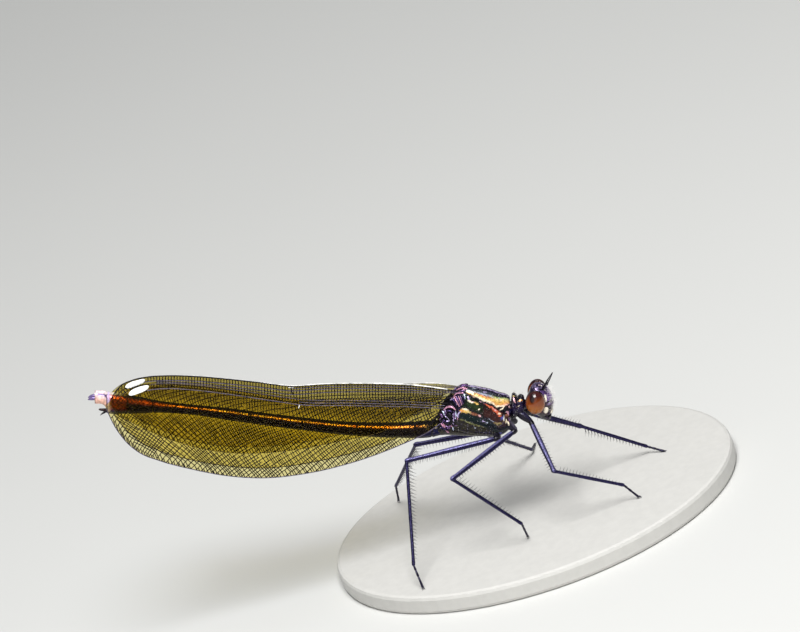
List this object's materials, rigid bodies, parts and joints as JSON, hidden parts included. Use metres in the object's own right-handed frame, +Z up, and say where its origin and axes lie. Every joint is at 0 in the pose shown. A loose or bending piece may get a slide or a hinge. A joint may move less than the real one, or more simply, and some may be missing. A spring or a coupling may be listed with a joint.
{
  "type": "damselfly",
  "caption": "Life-size still model of a female broad-winged damselfly, wings shut over its back, standing on a low oval base.",
  "frame": {"origin": "centre of the stand base's underside", "axes": "+X from the tail towards the head, along the object's greatest length; +Y to the insect's left; +Z up"},
  "size_m": [0.0592, 0.036, 0.0289],
  "materials": {
    "thorax": "glossy dark metallic bronze with golden panels and black sutures",
    "abdomen": "glossy blue-black with a coppery metallic sheen",
    "head": "dark violet bronze, glossy and finely wrinkled",
    "mouth": "cream and black, satin",
    "eye": "glossy red-brown, darker above",
    "leg": "indigo black with a silky sheen and rows of spines",
    "wing": "translucent amber brown membrane with dark veins and an opaque white spot",
    "stand": "plain pale satin"
  },
  "bodies": {
    "root": {"abdomen_1": "abdomen", "abdomen_10": "abdomen", "abdomen_2": "abdomen", "abdomen_3": "abdomen", "abdomen_4": "abdomen", "abdomen_5": "abdomen", "abdomen_6": "abdomen", "abdomen_7": "abdomen", "abdomen_8": "abdomen", "abdomen_9": "abdomen", "antenna_left": "head", "antenna_right": "head", "cercus_left": "abdomen", "cercus_right": "abdomen", "eye_left": "eye", "eye_right": "eye", "front_left_coxa": "leg", "front_left_femur": "leg", "front_left_tarsus": "leg", "front_left_tibia": "leg", "front_right_coxa": "leg", "front_right_femur": "leg", "front_right_tarsus": "leg", "front_right_tibia": "leg", "head": "head", "hind_left_coxa": "leg", "hind_left_femur": "leg", "hind_left_tarsus": "leg", "hind_left_tibia": "leg", "hind_right_coxa": "leg", "hind_right_femur": "leg", "hind_right_tarsus": "leg", "hind_right_tibia": "leg", "mid_left_coxa": "leg", "mid_left_femur": "leg", "mid_left_tarsus": "leg", "mid_left_tibia": "leg", "mid_right_coxa": "leg", "mid_right_femur": "leg", "mid_right_tarsus": "leg", "mid_right_tibia": "leg", "mouthparts": "mouth", "neck": "head", "ovipositor": "abdomen", "prothorax": "thorax", "stand_base": "stand", "synthorax": "thorax", "wing_fore_left": "wing", "wing_fore_right": "wing", "wing_hind_left": "wing", "wing_hind_right": "wing"}
  },
  "joints": []
}
